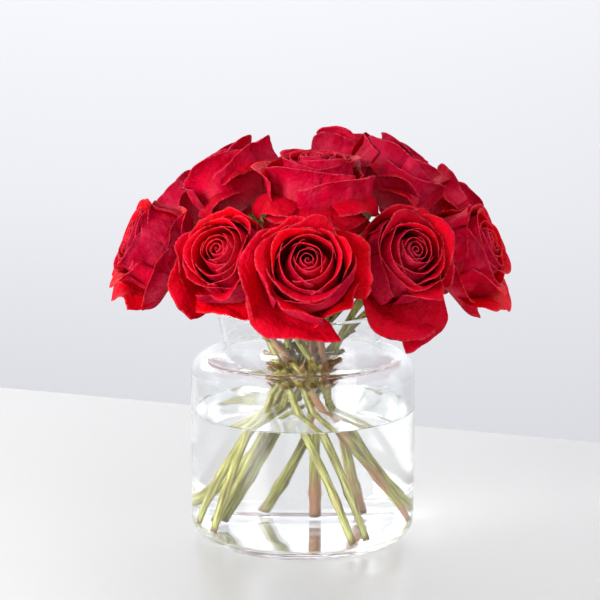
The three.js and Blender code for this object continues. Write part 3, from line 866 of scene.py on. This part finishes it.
# A table whose back edge runs away to the right, a wall behind it and an even sky.
studio = dict(
    tableTop=-0.0002,
    tableEdge=3,
    tableBackLeft=1.43,
    tableBackRight=-0.8,
    tableTone=(0.4, 0.4, 0.4),
    tableGlow=0.6,
    wallPlace=3,
    wallSide=6,
    wallFoot=-2,
    wallHead=5,
    wallTone=(0.8, 0.8, 0.83),
    wallGlow=0.07,
    sky=(0.95, 0.97, 1.0),
    skyStrength=0.54,
    skyInReflections=0.95,
)


def stageMaterial(name, tone, roughness, glow):
    material, add = newMaterial(name)
    shader = add("ShaderNodeBsdfPrincipled", {
        "Base Color": (*tone, 1),
        "Roughness": roughness,
        "Emission Color": (*tone, 1),
        "Emission Strength": glow,
    })
    add("ShaderNodeOutputMaterial", {"Surface": shader.outputs[0]})
    return material


def panel(name, corners, material):
    bm = bmesh.new()
    bm.faces.new([bm.verts.new(corner) for corner in corners])
    plane = meshObject(bm, name, [material], smoothFaces=False)
    return plane


far, top = studio["tableEdge"], studio["tableTop"]
tableCorners = [(-far, -far, top), (far, -far, top), (far, studio["tableBackRight"], top),
                (-far, studio["tableBackLeft"], top)]
panel("tableTop", tableCorners, stageMaterial("paleTable", studio["tableTone"], 0.35, studio["tableGlow"]))
side, back, foot, head = studio["wallSide"], studio["wallPlace"], studio["wallFoot"], studio["wallHead"]
wallCorners = [(-side, back, foot), (side, back, foot), (side, back, head), (-side, back, head)]
panel("backWall", wallCorners, stageMaterial("paleWall", studio["wallTone"], 0.9, studio["wallGlow"]))

# The sky is brighter in reflections, so that the glass stays clear.
world = bpy.data.worlds.new("softRoom")
world.use_nodes = True
skyNode = world.node_tree.nodes["Background"]
addToWorld = nodeMaker(world.node_tree)
reflected = addToWorld("ShaderNodeLightPath").outputs["Is Glossy Ray"]
strength = shareOf(addToWorld, reflected, 0, 1, studio["skyStrength"], studio["skyInReflections"])
skyNode.inputs["Color"].default_value = (*studio["sky"], 1)
world.node_tree.links.new(strength, skyNode.inputs["Strength"])
scene.world = world

lamps = [
    dict(name="windowLeft", place=(-2.2, -1.9, 0.98), target=(0, 0, 0.17), size=(1.3, 1.4), power=86,
         tone=(1, 0.985, 0.96)),
    dict(name="fillRight", place=(1.7, -1.2, 0.9), target=(0, 0, 0.15), size=(1.2, 1.0), power=12,
         tone=(0.96, 0.98, 1)),
    dict(name="backLeft", place=(-0.7, 1.3, 1.0), target=(0, 0.05, 0.1), size=(1.0, 0.8), power=7,
         tone=(1, 0.99, 0.97)),
    dict(name="wallWash", place=(0, 1.6, 2.2), target=(0, 3, 1.0), size=(3, 1), power=40, tone=(1, 1, 1)),
]


def softLamp(name, place, target, size, power, tone):
    lamp = bpy.data.lights.new(name, "AREA")
    lamp.shape = "RECTANGLE"
    lamp.size, lamp.size_y = size
    lamp.energy = power
    lamp.color = tone
    holder = bpy.data.objects.new(name, lamp)
    holder.location = place
    holder.rotation_euler = (Vector(target) - Vector(place)).to_track_quat("-Z", "Y").to_euler()
    scene.collection.objects.link(holder)


for lamp in lamps:
    softLamp(**lamp)

view = dict(place=(-0.0018, -1.47, 0.459), rise=11.5, lens=135.4, sensor=36)
camera = bpy.data.cameras.new("camera")
camera.lens = view["lens"]
camera.sensor_width = view["sensor"]
camera.clip_end = 20
eye = bpy.data.objects.new("camera", camera)
eye.location = view["place"]
eye.rotation_euler = (math.radians(90 - view["rise"]), 0, 0)
scene.collection.objects.link(eye)
scene.camera = eye

# Light goes to and fro many times in the vase before it comes out.
scene.view_settings.view_transform = "Standard"
scene.cycles.use_denoising = True
scene.cycles.max_bounces = 128
scene.cycles.transmission_bounces = 120
scene.cycles.glossy_bounces = 120
scene.cycles.diffuse_bounces = 5
scene.cycles.transparent_max_bounces = 16

print("roses in a vase: done")
